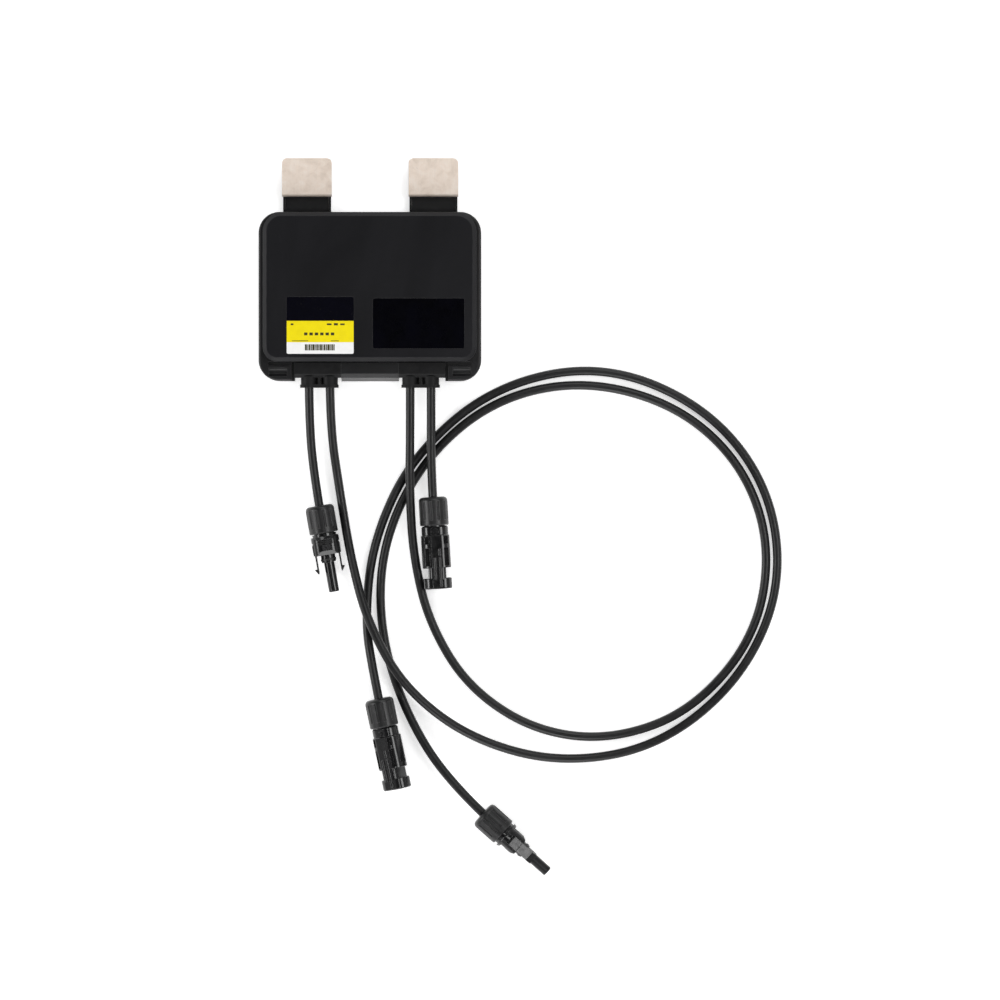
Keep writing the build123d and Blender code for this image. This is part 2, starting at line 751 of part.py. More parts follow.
# Route of each lead's centre line, from inside its gland to inside its connector. z is 2.75 on the table.
lead_routes = {
    "short_plug_cable": [
        (-38.0, -44.0, 9.8),
        (-38.0, -77.0, 9.8),
        along("short_plug", cable_end_depth - 33.0),
        along("short_plug", cable_end_depth),
    ],
    "short_receptacle_cable": [
        (38.0, -44.0, 9.8),
        (38.0, -76.0, 9.8),
        along("short_receptacle", cable_end_depth - 31.5),
        along("short_receptacle", cable_end_depth),
    ],
    "long_receptacle_cable": [
        (-25.0, -44.0, 9.8),
        (-25.0, -80.0, 9.8),
        (-19.0, -121.0, 5.5),
        (-12.0, -163.0, 8.0),
        (-1.5, -203.0, 11.5),
        (21.5, -244.0, 11.5),
        (63.0, -276.0, 4.0),
        (119.0, -291.0, 2.75),
        (180.0, -280.5, 2.75),
        (231.0, -239.0, 2.75),
        (257.0, -181.0, 2.75),
        (249.0, -118.0, 2.75),
        (210.5, -67.0, 2.75),
        (145.5, -41.0, 2.75),
        (78.0, -54.0, 2.75),
        (25.5, -97.5, 2.75),
        (1.0, -151.0, 2.75),
        (-4.0, -201.0, 2.75),
        along("long_receptacle", cable_end_depth - 32.0),
        along("long_receptacle", cable_end_depth),
    ],
    "long_plug_cable": [
        (25.0, -44.0, 9.8),
        (25.0, -80.0, 9.8),
        (24.0, -121.0, 10.6),
        (25.5, -163.0, 5.0),
        (35.5, -204.0, 2.75),
        (61.0, -243.5, 2.75),
        (102.0, -270.5, 2.75),
        (150.0, -276.5, 2.75),
        (200.5, -258.5, 2.75),
        (240.5, -212.0, 2.75),
        (250.0, -155.0, 2.75),
        (232.0, -104.0, 2.75),
        (191.0, -67.0, 2.75),
        (132.0, -52.0, 2.75),
        (78.0, -64.5, 2.75),
        (34.5, -101.0, 2.75),
        (8.0, -152.0, 2.75),
        (6.0, -205.0, 2.75),
        (21.0, -258.0, 2.75),
        along("long_plug", cable_end_depth - 38.0),
        along("long_plug", cable_end_depth),
    ],
}


def corner_radii(points):
    """0.45 of the shorter run beside each corner, divided by the tangent of half the turn."""
    radii = []
    for before, corner, after in zip(points, points[1:], points[2:]):
        run_in = Vector(*corner) - Vector(*before)
        run_out = Vector(*after) - Vector(*corner)
        turn = math.radians(run_in.get_angle(run_out))
        radii.append(0.45 * min(run_in.length, run_out.length) / math.tan(turn / 2))
    return radii


def make_lead(name):
    points = lead_routes[name]
    radii = corner_radii(points)
    path = FilletPolyline(*points, radius=radii)
    section = Plane(origin=path @ 0, z_dir=path % 0) * Circle(lead_radius)
    tube = sweep(section, path=path)
    expected = math.pi * lead_radius**2 * path.length
    print(name, "length", round(path.length, 1), "volume ratio", round(tube.volume / expected, 5))
    print("  radii", [round(radius, 1) for radius in radii])
    return tube


# ---------------------------------------------------------------- write every sub-part
save("rear_housing", make_rear_housing())
save("front_cover", make_front_cover())
save("cover_gasket", gasket_zone)
for label_name in label_places:
    save(label_name, make_label(label_name))
for side_name, side_sign in (("left", -1), ("right", 1)):
    save(f"gland_block_{side_name}", make_gland_block(side_sign))
    save(f"bracket_arm_{side_name}", make_bracket_arm(side_sign))
    save(f"frame_clip_{side_name}", make_frame_clip(side_sign))
    save(f"clip_rivets_{side_name}", make_rivets(side_sign))

save("circuit_board", make_circuit_board())
save("board_screws", make_board_screws())
save("potting_compound", make_potting())
save("inductor_core", make_inductor_core())
save("inductor_winding", make_inductor_winding())
save("filter_capacitors", make_capacitors())
save("power_transistors", make_transistors())
save("heat_spreader", make_heat_spreader())
save("bypass_diodes", make_bypass_diodes())
save("control_chips", make_control_chips())
save("signal_transformer", make_signal_transformer())
save("lead_terminals", make_terminals())
save("lead_conductors", make_conductors())

for connector_name in connectors:
    place = connector_place(connector_name)
    is_plug = connector_name.endswith("plug")
    nut_length = plug_nut_length if is_plug else receptacle_nut_length
    pieces = {
        "cap_nut": make_cap_nut(nut_length),
        "clamp_cage": make_clamp_cage(),
        "cable_seal": make_cable_seal(),
    }
    if is_plug:
        pieces["body"] = make_plug_body()
        pieces["o_ring"] = make_o_ring()
        pieces["socket_contact"] = make_socket_contact()
        pieces["latch_a"] = make_latch(1)
        pieces["latch_b"] = make_latch(-1)
    else:
        pieces["body"] = make_receptacle_body()
        pieces["pin_contact"] = make_pin_contact()
    for piece_name, piece in pieces.items():
        save(f"{connector_name}_{piece_name}", place * piece)

for lead_name in lead_routes:
    save(lead_name, make_lead(lead_name))
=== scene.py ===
import json
import math

import bmesh
import bpy
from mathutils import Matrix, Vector


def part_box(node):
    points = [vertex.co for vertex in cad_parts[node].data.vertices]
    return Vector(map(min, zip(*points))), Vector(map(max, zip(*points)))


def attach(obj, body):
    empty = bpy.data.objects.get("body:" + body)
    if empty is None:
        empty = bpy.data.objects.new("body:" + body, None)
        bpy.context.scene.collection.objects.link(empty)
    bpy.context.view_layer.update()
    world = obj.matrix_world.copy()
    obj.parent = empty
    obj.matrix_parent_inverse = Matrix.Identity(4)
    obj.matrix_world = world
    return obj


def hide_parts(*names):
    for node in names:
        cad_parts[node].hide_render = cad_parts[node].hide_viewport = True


# Looks for a module-level DC power unit with spring frame clips and four round leads.
# Metres. The frame is the CAD part's: rear face on z = 0, clips towards +Y, leads towards -Y.

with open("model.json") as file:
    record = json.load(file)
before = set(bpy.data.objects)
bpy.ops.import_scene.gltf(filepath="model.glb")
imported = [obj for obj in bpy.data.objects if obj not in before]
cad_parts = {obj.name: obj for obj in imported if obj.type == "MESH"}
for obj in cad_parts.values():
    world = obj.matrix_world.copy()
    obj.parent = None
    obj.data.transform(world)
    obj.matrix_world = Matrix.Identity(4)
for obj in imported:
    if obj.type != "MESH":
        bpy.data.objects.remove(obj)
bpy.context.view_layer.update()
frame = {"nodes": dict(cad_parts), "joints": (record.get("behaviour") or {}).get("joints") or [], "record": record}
nodes = frame["nodes"]
record = frame["record"]

# ---------------------------------------------------------------- driving dimensions
camera_height = 3.0
camera_centre = (0.0809, -0.1266)
# width that the camera sees at the table
camera_field = 0.6245
# in millimetres, as Blender takes it
sensor_width = 36.0

lead_diameter = 0.0055
lead_exit_height = 0.0098
# height of a lead's centre line where it lies on the table
lead_lying_height = lead_diameter / 2
lead_spline_steps = 24
lead_section_steps = 7
# how far the cable goes into a connector
cable_end_depth = 0.0155

nameplate_corner = 0.0009
nameplate_corner_steps = 6
# edges of the yellow band, as shares of the nameplate's height
yellow_band = (0.2035, 0.58)
ink_thickness = 0.00002

floor_half_side = 4.0
floor_thickness = 0.02
floor_gap = 0.0002
floor_glow = 0.5

# world strength low down and overhead, and the heights of a unit sphere where the fade starts and ends
wall_light = 0.5
overhead_light = 0.03
wall_top = 0.25
ceiling_start = 0.95

bevel_samples = 4


# ---------------------------------------------------------------- camera
def make_camera():
    """A long lens straight above the object, with +Y at the top of the picture."""
    data = bpy.data.cameras.new("camera")
    data.sensor_width = sensor_width
    data.lens = sensor_width * camera_height / camera_field
    camera = bpy.data.objects.new("camera", data)
    camera.location = (*camera_centre, camera_height)
    bpy.context.scene.collection.objects.link(camera)
    bpy.context.scene.camera = camera


# ---------------------------------------------------------------- leads
def connector_axis(name):
    """Where the cable enters a connector and the way from there to its tip, from the cap nut's joint."""
    joint = next(joint for joint in frame["joints"] if joint["name"] == name + "_nut_turn")
    return Vector(joint["pos_m"]), -Vector(joint["axis"]).normalized()


def along(name, depth):
    """A point on a connector's axis, at a depth from its cable entry."""
    entry, direction = connector_axis(name)
    return tuple(entry + direction * depth)


# Route of each lead, from inside its gland to inside its connector. The points are the CAD tube's, but
# some on the long leads are moved: by less than 2 mm, so that the pair lies closer together, and
# by 5 mm along the long plug's axis, so that its cap nut clears the lead as it moves back.
lead_routes = {
    "short_plug": [
        (-0.0380, -0.0440, lead_exit_height),
        (-0.0380, -0.0770, lead_exit_height),
        along("short_plug", cable_end_depth - 0.0330),
        along("short_plug", cable_end_depth),
    ],
    "short_receptacle": [
        (0.0380, -0.0440, lead_exit_height),
        (0.0380, -0.0760, lead_exit_height),
        along("short_receptacle", cable_end_depth - 0.0315),
        along("short_receptacle", cable_end_depth),
    ],
    "long_receptacle": [
        (-0.0250, -0.0440, lead_exit_height),
        (-0.0250, -0.0800, lead_exit_height),
        (-0.0190, -0.1210, 0.0055),
        (-0.0120, -0.1630, 0.0080),
        (-0.0015, -0.2030, 0.0115),
        (0.0215, -0.2440, 0.0115),
        (0.0630, -0.2760, 0.0040),
        (0.1190, -0.2910, lead_lying_height),
        (0.1800, -0.2805, lead_lying_height),
        (0.2310, -0.2390, lead_lying_height),
        (0.2570, -0.1810, lead_lying_height),
        (0.2490, -0.1180, lead_lying_height),
        (0.2095, -0.0682, lead_lying_height),
        (0.1450, -0.0416, lead_lying_height),
        (0.0776, -0.0552, lead_lying_height),
        (0.0266, -0.0986, lead_lying_height),
        (0.0018, -0.1510, lead_lying_height),
        (-0.0034, -0.2010, lead_lying_height),
        along("long_receptacle", cable_end_depth - 0.0320),
        along("long_receptacle", cable_end_depth),
    ],
    "long_plug": [
        (0.0250, -0.0440, lead_exit_height),
        (0.0250, -0.0800, lead_exit_height),
        (0.0246, -0.1210, 0.0106),
        (0.0270, -0.1630, 0.0050),
        (0.0370, -0.2040, lead_lying_height),
        (0.0610, -0.2435, lead_lying_height),
        (0.1020, -0.2705, lead_lying_height),
        (0.1500, -0.2765, lead_lying_height),
        (0.2005, -0.2585, lead_lying_height),
        (0.2404, -0.2120, lead_lying_height),
        (0.2500, -0.1550, lead_lying_height),
        (0.2320, -0.1040, lead_lying_height),
        (0.1910, -0.0670, lead_lying_height),
        (0.1324, -0.0516, lead_lying_height),
        (0.0766, -0.0640, lead_lying_height),
        (0.0330, -0.1012, lead_lying_height),
        (0.0080, -0.1515, lead_lying_height),
        (0.0052, -0.2050, lead_lying_height),
        (0.0210, -0.2580, lead_lying_height),
        along("long_plug", cable_end_depth - 0.0430),
        along("long_plug", cable_end_depth),
    ],
}


def make_lead(name, jacket):
    """A round lead on a smooth spline that has the route's points as its control points."""
    curve = bpy.data.curves.new(name + "_lead", "CURVE")
    curve.dimensions = "3D"
    spline = curve.splines.new("NURBS")
    points = lead_routes[name]
    spline.points.add(len(points) - 1)
    for point, place in zip(spline.points, points):
        point.co = (*place, 1.0)
    spline.order_u = 3
    spline.use_endpoint_u = True
    spline.resolution_u = lead_spline_steps
    spline.use_smooth = True
    curve.bevel_depth = lead_diameter / 2
    curve.bevel_resolution = lead_section_steps
    curve.use_fill_caps = True
    curve.materials.append(jacket)
    lead = bpy.data.objects.new(name + "_lead", curve)
    bpy.context.scene.collection.objects.link(lead)
    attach(lead, "case")
    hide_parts(name + "_cable")


# ---------------------------------------------------------------- material nodes
class Look:
    """A Principled material and the nodes that vary it over the surface, in metres on the object."""

    def __init__(self, name, colour, roughness, metallic=0.0, specular=0.5):
        self.material = bpy.data.materials.new(name)
        self.material.use_nodes = True
        self.tree = self.material.node_tree
        self.shader = self.tree.nodes["Principled BSDF"]
        self.shader.inputs["Base Color"].default_value = (*colour, 1.0)
        self.shader.inputs["Roughness"].default_value = roughness
        self.shader.inputs["Metallic"].default_value = metallic
        self.shader.inputs["Specular IOR Level"].default_value = specular
        self.place = self.add("ShaderNodeTexCoord").outputs["Object"]

    def add(self, kind, **settings):
        """Add a node to the tree with these settings."""
        node = self.tree.nodes.new(kind)
        for setting, value in settings.items():
            setattr(node, setting, value)
        return node

    def feed(self, node, **inputs):
        """Set or link a node's inputs by name; underscores stand for spaces."""
        for name, value in inputs.items():
            socket = node.inputs[name.replace("_", " ")]
            if isinstance(value, bpy.types.NodeSocket):
                self.tree.links.new(value, socket)
            else:
                socket.default_value = value

    def stretched(self, stretch):
        """The place on the object, scaled along each axis."""
        mapping = self.add("ShaderNodeMapping")
        self.feed(mapping, Vector=self.place, Scale=stretch)
        return mapping.outputs["Vector"]

    def noise(self, size, detail=3.0, rough=0.55, stretch=(1, 1, 1), warp=0.0):
        """Cloudy noise whose features are about `size` metres across."""
        node = self.add("ShaderNodeTexNoise")
        self.feed(node, Vector=self.stretched(stretch), Scale=1 / size)
        self.feed(node, Detail=detail, Roughness=rough, Distortion=warp)
        return node.outputs["Fac"]

    def cells(self, size):
        """Distance from the nearest of many scattered points, about `size` metres apart."""
        node = self.add("ShaderNodeTexVoronoi", feature="F1")
        self.feed(node, Vector=self.place, Scale=1 / size)
        return node.outputs["Distance"]

    def lines(self, size, axis, warp=0.0):
        """Parallel lines across one axis, `size` metres apart."""
        node = self.add("ShaderNodeTexWave", wave_type="BANDS", bands_direction=axis)
        self.feed(node, Vector=self.place, Scale=math.pi / (10 * size), Distortion=warp)
        return node.outputs["Fac"]

    def ramp(self, factor, *stops):
        """Colours at places along a factor."""
        node = self.add("ShaderNodeValToRGB")
        elements = node.color_ramp.elements
        while len(elements) < len(stops):
            elements.new(0.5)
        for element, (place, colour) in zip(elements, stops):
            element.position = place
            element.color = (*colour, 1.0)
        self.feed(node, Fac=factor)
        return node.outputs["Color"]

    def spread(self, factor, low, high, start=0.3, end=0.7):
        """A value from low to high as the factor goes from start to end."""
        node = self.add("ShaderNodeMapRange")
        self.feed(node, Value=factor, From_Min=start, From_Max=end, To_Min=low, To_Max=high)
        return node.outputs["Result"]

    def mix(self, factor, ground, colour):
        """A ground with a plain colour over it, by a factor."""
        node = self.add("ShaderNodeMix", data_type="RGBA")
        share, under, over = [socket for socket in node.inputs if socket.enabled]
        self.tree.links.new(factor, share)
        self.tree.links.new(ground, under)
        over.default_value = (*colour, 1.0)
        return next(socket for socket in node.outputs if socket.enabled)

    def edges(self, radius):
        """1 along edges sharper than a radius, 0 on flat ground."""
        flat, sharp = 0.988, 0.90
        bevel = self.add("ShaderNodeBevel", samples=bevel_samples)
        self.feed(bevel, Radius=radius)
        geometry = self.add("ShaderNodeNewGeometry")
        dot = self.add("ShaderNodeVectorMath", operation="DOT_PRODUCT")
        self.tree.links.new(bevel.outputs["Normal"], dot.inputs[0])
        self.tree.links.new(geometry.outputs["Normal"], dot.inputs[1])
        return self.spread(dot.outputs["Value"], 1.0, 0.0, sharp, flat)

    def multiply(self, first, second):
        """The product of two factors, either of which may be a plain number."""
        node = self.add("ShaderNodeMath", operation="MULTIPLY")
        for socket, value in zip(node.inputs, (first, second)):
            if isinstance(value, bpy.types.NodeSocket):
                self.tree.links.new(value, socket)
            else:
                socket.default_value = value
        return node.outputs["Value"]

    def relief(self, *layers, soften=0.0):
        """Bump layers as (height, depth in metres), over edges softened by a radius."""
        normal = None
        if soften:
            bevel = self.add("ShaderNodeBevel", samples=bevel_samples)
            self.feed(bevel, Radius=soften)
            normal = bevel.outputs["Normal"]
        for height, depth in layers:
            bump = self.add("ShaderNodeBump")
            self.feed(bump, Height=height, Distance=depth, Strength=1.0)
            if normal:
                self.feed(bump, Normal=normal)
            normal = bump.outputs["Normal"]
        self.feed(self.shader, Normal=normal)

    def paint(self, colour, roughness=None):
        """Finish the material with its colour and, where it varies, its roughness."""
        self.feed(self.shader, Base_Color=colour)
        if roughness:
            self.feed(self.shader, Roughness=roughness)
        return self.material


# ---------------------------------------------------------------- materials
def case_plastic():
    """Black glass-filled moulding with a spark-eroded texture, its edges painted paler: partly rubbing wear,
    partly a painted highlight.
    """
    look = Look("case_plastic", (0.005, 0.005, 0.006), 0.5, specular=0.35)
    cloud = look.noise(0.022, warp=0.4)
    grain = look.noise(0.00045, detail=2.0)
    ground = look.ramp(cloud, (0.3, (0.0030, 0.0030, 0.0036)), (0.7, (0.0062, 0.0062, 0.0072)))
    # edges painted paler grey: partly rubbing wear, partly a painted highlight along the edges
    wear_and_painted_highlight = look.multiply(look.edges(0.0006), look.spread(look.noise(0.004), 0.1, 0.7))
    look.relief((grain, 0.00002), (look.noise(0.006), 0.00004), soften=0.0004)
    return look.paint(look.mix(wear_and_painted_highlight, ground, (0.05, 0.05, 0.052)), look.spread(grain, 0.34, 0.48))


def cover_plastic():
    """Smoother black moulding: faint flow marks, fine scuffs, and edges painted paler, partly wear and partly a
    painted highlight.
    """
    look = Look("cover_plastic", (0.0040, 0.0040, 0.0054), 0.42, specular=0.25)
    flow = look.noise(0.05, detail=4.0, stretch=(1, 0.35, 1), warp=0.8)
    grain = look.noise(0.00035, detail=2.0)
    ground = look.ramp(flow, (0.3, (0.0026, 0.0026, 0.0038)), (0.7, (0.0052, 0.0052, 0.0070)))
    brushed = look.noise(0.0035, detail=5.0, stretch=(1, 0.12, 1), warp=1.5)
    scuffs = look.spread(brushed, 0.0, 0.35, 0.66, 0.8)
    # edges painted paler grey: partly rubbing wear, partly a painted highlight along the rounded edge
    wear_and_painted_highlight = look.multiply(look.edges(0.0008), look.spread(look.noise(0.005), 0.15, 0.6))
    worn = look.mix(scuffs, ground, (0.014, 0.014, 0.017))
    look.relief((grain, 0.000012), (look.noise(0.03), 0.00006), soften=0.0005)
    return look.paint(look.mix(wear_and_painted_highlight, worn, (0.05, 0.05, 0.053)), look.spread(flow, 0.36, 0.48))


def printed_film(name, light, dark, specular=0.35):
    """Printed polyester film: even ink, a little dust in its fine grain."""
    look = Look(name, light, 0.32, specular=specular)
    ink = look.ramp(look.noise(0.004, detail=4.0), (0.25, dark), (0.65, light))
    fibre = look.noise(0.0004, detail=2.0)
    specks = look.spread(look.noise(0.0008, detail=1.0), 0.0, 0.12, 0.74, 0.82)
    look.relief((fibre, 0.000003), (look.noise(0.012), 0.00004))
    return look.paint(look.mix(specks, ink, (0.30, 0.28, 0.22)), look.spread(fibre, 0.28, 0.42))


def rating_print():
    """Almost black film, smooth, with a faint orange peel and a cold tint."""
    look = Look("rating_print", (0.0004, 0.0004, 0.0014), 0.3, specular=0.04)
    cloud = look.noise(0.015, detail=3.0)
    tint = look.ramp(cloud, (0.3, (0.0004, 0.0004, 0.0010)), (0.7, (0.0010, 0.0010, 0.0028)))
    look.relief((look.noise(0.0009), 0.000008), (look.noise(0.02), 0.00006))
    return look.paint(tint, look.spread(look.noise(0.003), 0.26, 0.36))


def gland_rubber():
    """Moulded elastomer: dry satin with a light bloom."""
    look = Look("gland_rubber", (0.006, 0.006, 0.007), 0.55, specular=0.22)
    bloom = look.noise(0.007, detail=5.0, warp=0.6)
    ground = look.ramp(bloom, (0.35, (0.0035, 0.0035, 0.0040)), (0.75, (0.0100, 0.0100, 0.0105)))
    look.relief((look.noise(0.0005), 0.00002), (look.cells(0.0016), 0.00001), soften=0.0004)
    # edges painted paler grey: a painted highlight along the edges, partly rubbing wear
    wear_and_painted_highlight = look.multiply(look.edges(0.0006), 0.4)
    return look.paint(look.mix(wear_and_painted_highlight, ground, (0.06, 0.06, 0.06)), look.spread(bloom, 0.48, 0.62))


def arm_coating():
    """Black dip coating on steel: orange peel, and thin at the edges."""
    look = Look("arm_coating", (0.005, 0.005, 0.0055), 0.38, specular=0.3)
    peel = look.noise(0.0012, detail=2.0)
    thin = look.multiply(look.edges(0.0005), look.spread(look.noise(0.0025), 0.0, 0.9, 0.45, 0.65))
    ground = look.ramp(look.noise(0.012), (0.3, (0.0035, 0.0035, 0.0040)), (0.7, (0.0085, 0.0085, 0.0090)))
    look.relief((peel, 0.00002), soften=0.0003)
    return look.paint(look.mix(thin, ground, (0.11, 0.105, 0.10)), look.spread(peel, 0.32, 0.46))


def clip_steel():
    """Bare spring steel, faintly warm: rolling lines along Y, mottled film and small stains."""
    look = Look("clip_steel", (0.92, 0.79, 0.68), 0.46, metallic=0.4, specular=0.5)
    mottle = look.noise(0.006, detail=6.0, rough=0.65, warp=0.5)
    rolled = look.noise(0.0006, detail=3.0, stretch=(1, 0.05, 1))
    film = look.ramp(
        mottle,
        (0.28, (0.81, 0.68, 0.57)),
        (0.5, (0.92, 0.79, 0.68)),
        (0.75, (0.97, 0.88, 0.79)),
    )
    streak = look.mix(look.spread(rolled, 0.0, 0.22), film, (0.76, 0.68, 0.61))
    stain = look.spread(look.noise(0.0022, detail=4.0), 0.0, 0.5, 0.66, 0.78)
    look.relief((rolled, 0.000012), (mottle, 0.00003), soften=0.0003)
    return look.paint(look.mix(stain, streak, (0.58, 0.49, 0.41)), look.spread(mottle, 0.38, 0.56))


def rivet_steel():
    """Plain turned steel with a dull zinc film."""
    look = Look("rivet_steel", (0.58, 0.57, 0.55), 0.4, metallic=1.0)
    film = look.noise(0.0012, detail=4.0)
    tone = look.ramp(film, (0.3, (0.46, 0.455, 0.44)), (0.7, (0.66, 0.65, 0.63)))
    look.relief((look.noise(0.0003), 0.000008), soften=0.0002)
    return look.paint(tone, look.spread(film, 0.32, 0.5))


def board_laminate():
    """Green solder mask over copper tracks, with the glass weave showing through."""
    look = Look("board_laminate", (0.012, 0.10, 0.04), 0.3, specular=0.5)
    tracks = look.spread(look.lines(0.0022, "Y", warp=1.6), 0.0, 1.0, 0.55, 0.62)
    weave = look.multiply(look.lines(0.0007, "X"), look.lines(0.0007, "Y"))
    mask = look.ramp(weave, (0.2, (0.010, 0.085, 0.032)), (0.9, (0.016, 0.115, 0.046)))
    look.relief((tracks, 0.00003), (weave, 0.00001), soften=0.0002)
    return look.paint(look.mix(tracks, mask, (0.030, 0.17, 0.07)), look.spread(weave, 0.26, 0.38))


def potting():
    """Cured grey silicone: soft swirls and a few small bubbles."""
    look = Look("potting", (0.09, 0.09, 0.10), 0.35, specular=0.4)
    swirl = look.noise(0.02, detail=3.0, warp=2.0)
    tone = look.ramp(swirl, (0.3, (0.075, 0.075, 0.085)), (0.7, (0.115, 0.115, 0.125)))
    look.relief((look.spread(look.cells(0.006), 0.0, 1.0, 0.05, 0.15), 0.0002), (swirl, 0.0001))
    return look.paint(tone, look.spread(swirl, 0.28, 0.42))


def ferrite():
    """Sintered ferrite: dark grey with fine bright grains and chipped edges."""
    look = Look("ferrite", (0.06, 0.06, 0.065), 0.5, metallic=0.3)
    grains = look.cells(0.0004)
    tone = look.ramp(grains, (0.1, (0.10, 0.10, 0.105)), (0.45, (0.045, 0.045, 0.05)))
    chips = look.multiply(look.edges(0.0005), look.spread(look.noise(0.001), 0.0, 0.8, 0.5, 0.6))
    look.relief((grains, 0.00002), (look.noise(0.002), 0.00003), soften=0.0002)
    return look.paint(look.mix(chips, tone, (0.16, 0.16, 0.165)), look.spread(grains, 0.42, 0.6))


def copper_wire():
    """Enamelled copper: turns of wire side by side along Z, warm and glossy."""
    look = Look("copper_wire", (0.62, 0.26, 0.10), 0.28, metallic=1.0)
    turns = look.lines(0.0009, "Z")
    # darker between the turns: painted shade in the grooves between the wires
    tone = look.ramp(turns, (0.0, (0.24, 0.08, 0.03)), (0.6, (0.66, 0.29, 0.12)))
    tarnish = look.spread(look.noise(0.003, detail=4.0), 0.0, 0.45, 0.5, 0.75)
    look.relief((turns, 0.0002))
    return look.paint(look.mix(tarnish, tone, (0.30, 0.12, 0.06)), look.spread(turns, 0.42, 0.24))


def capacitor_can():
    """Drawn aluminium can with fine circumferential lines."""
    look = Look("capacitor_can", (0.70, 0.70, 0.72), 0.3, metallic=1.0)
    drawn = look.noise(0.0007, detail=3.0, stretch=(0.08, 0.08, 1))
    tone = look.ramp(drawn, (0.3, (0.60, 0.60, 0.62)), (0.7, (0.76, 0.76, 0.78)))
    look.relief((drawn, 0.00001), soften=0.0002)
    return look.paint(tone, look.spread(drawn, 0.24, 0.4))


def chip_black():
    """Moulded epoxy with a fine speckle."""
    look = Look("chip_black", (0.018, 0.018, 0.018), 0.55)
    speckle = look.noise(0.0002, detail=2.0)
    tone = look.ramp(speckle, (0.35, (0.012, 0.012, 0.012)), (0.7, (0.032, 0.032, 0.033)))
    look.relief((speckle, 0.00001), soften=0.00015)
    return look.paint(tone, look.spread(speckle, 0.45, 0.65))


def spreader_metal():
    """Milled aluminium with cutter lines across it."""
    look = Look("spreader_metal", (0.64, 0.65, 0.66), 0.35, metallic=1.0)
    milled = look.lines(0.0006, "X", warp=0.6)
    tone = look.ramp(milled, (0.2, (0.54, 0.55, 0.56)), (0.8, (0.70, 0.71, 0.72)))
    look.relief((milled, 0.00001), soften=0.0002)
    return look.paint(tone, look.spread(look.noise(0.004), 0.28, 0.45))


def tinned(name, light, dark):
    """Tin plate: soft grey patches over a warmer metal."""
    look = Look(name, light, 0.34, metallic=1.0)
    patch = look.noise(0.002, detail=4.0, warp=0.5)
    look.relief((look.noise(0.0004), 0.00001), soften=0.00015)
    return look.paint(look.ramp(patch, (0.3, dark), (0.7, light)), look.spread(patch, 0.26, 0.44))


def connector_plastic():
    """Satin black moulding with faint flow lines; edges and rib crests painted paler, partly rubbing and partly a
    painted highlight.
    """
    look = Look("connector_plastic", (0.006, 0.006, 0.007), 0.2, specular=0.5)
    flow = look.noise(0.005, detail=4.0, warp=1.0)
    ground = look.ramp(flow, (0.3, (0.0035, 0.0035, 0.004)), (0.7, (0.0075, 0.0075, 0.008)))
    # edges and rib crests painted paler grey: partly a painted highlight, partly rubbing wear
    wear_and_painted_highlight = look.multiply(look.edges(0.0004), look.spread(look.noise(0.003), 0.1, 0.7))
    look.relief((look.noise(0.0005), 0.0000010), (look.noise(0.006), 0.000012), soften=0.0003)
    return look.paint(look.mix(wear_and_painted_highlight, ground, (0.06, 0.06, 0.062)), look.spread(flow, 0.15, 0.22))


def nut_plastic():
    """Matt black moulding with a cloudy dust tone; its ribs painted grey, partly rubbing and partly a painted
    highlight on the lobes.
    """
    look = Look("nut_plastic", (0.008, 0.008, 0.0085), 0.38, specular=0.42)
    dust = look.noise(0.003, detail=5.0)
    grain = look.noise(0.0003, detail=2.0)
    ground = look.ramp(dust, (0.3, (0.0050, 0.0050, 0.0053)), (0.75, (0.0130, 0.0130, 0.0135)))
    # ribs and edges painted grey: partly rubbing wear, partly a painted highlight on the lobes
    wear_and_painted_highlight = look.multiply(look.edges(0.0005), look.spread(dust, 0.2, 0.9))
    look.relief((grain, 0.000008), soften=0.0003)
    return look.paint(look.mix(wear_and_painted_highlight, ground, (0.105, 0.105, 0.107)), look.spread(grain, 0.30, 0.42))


def plain_moulding(name, roughness, grain_size, tone):
    """Small black inner pieces: one grain, one cloud."""
    look = Look(name, (tone, tone, tone), roughness)
    grain = look.noise(grain_size, detail=3.0)
    cloud = look.noise(0.004)
    look.relief((grain, 0.00001), soften=0.0002)
    shade = look.ramp(cloud, (0.3, (0.7 * tone,) * 3), (0.7, (1.4 * tone,) * 3))
    return look.paint(shade, look.spread(grain, roughness - 0.07, roughness + 0.09))


def cable_jacket():
    """Cross-linked jacket: satin black, extrusion ripple, a trace of talc and handling marks."""
    look = Look("cable_jacket", (0.005, 0.005, 0.0055), 0.36, specular=0.4)
    ripple = look.noise(0.012, detail=2.0)
    talc = look.spread(look.noise(0.0016, detail=6.0, rough=0.7, warp=0.4), 0.0, 0.35, 0.6, 0.85)
    ground = look.ramp(ripple, (0.3, (0.0030, 0.0030, 0.0034)), (0.7, (0.0062, 0.0062, 0.0067)))
    look.relief((look.noise(0.0004, detail=2.0), 0.000008), (ripple, 0.00005))
    return look.paint(look.mix(talc, ground, (0.026, 0.026, 0.027)), look.spread(ripple, 0.32, 0.46))


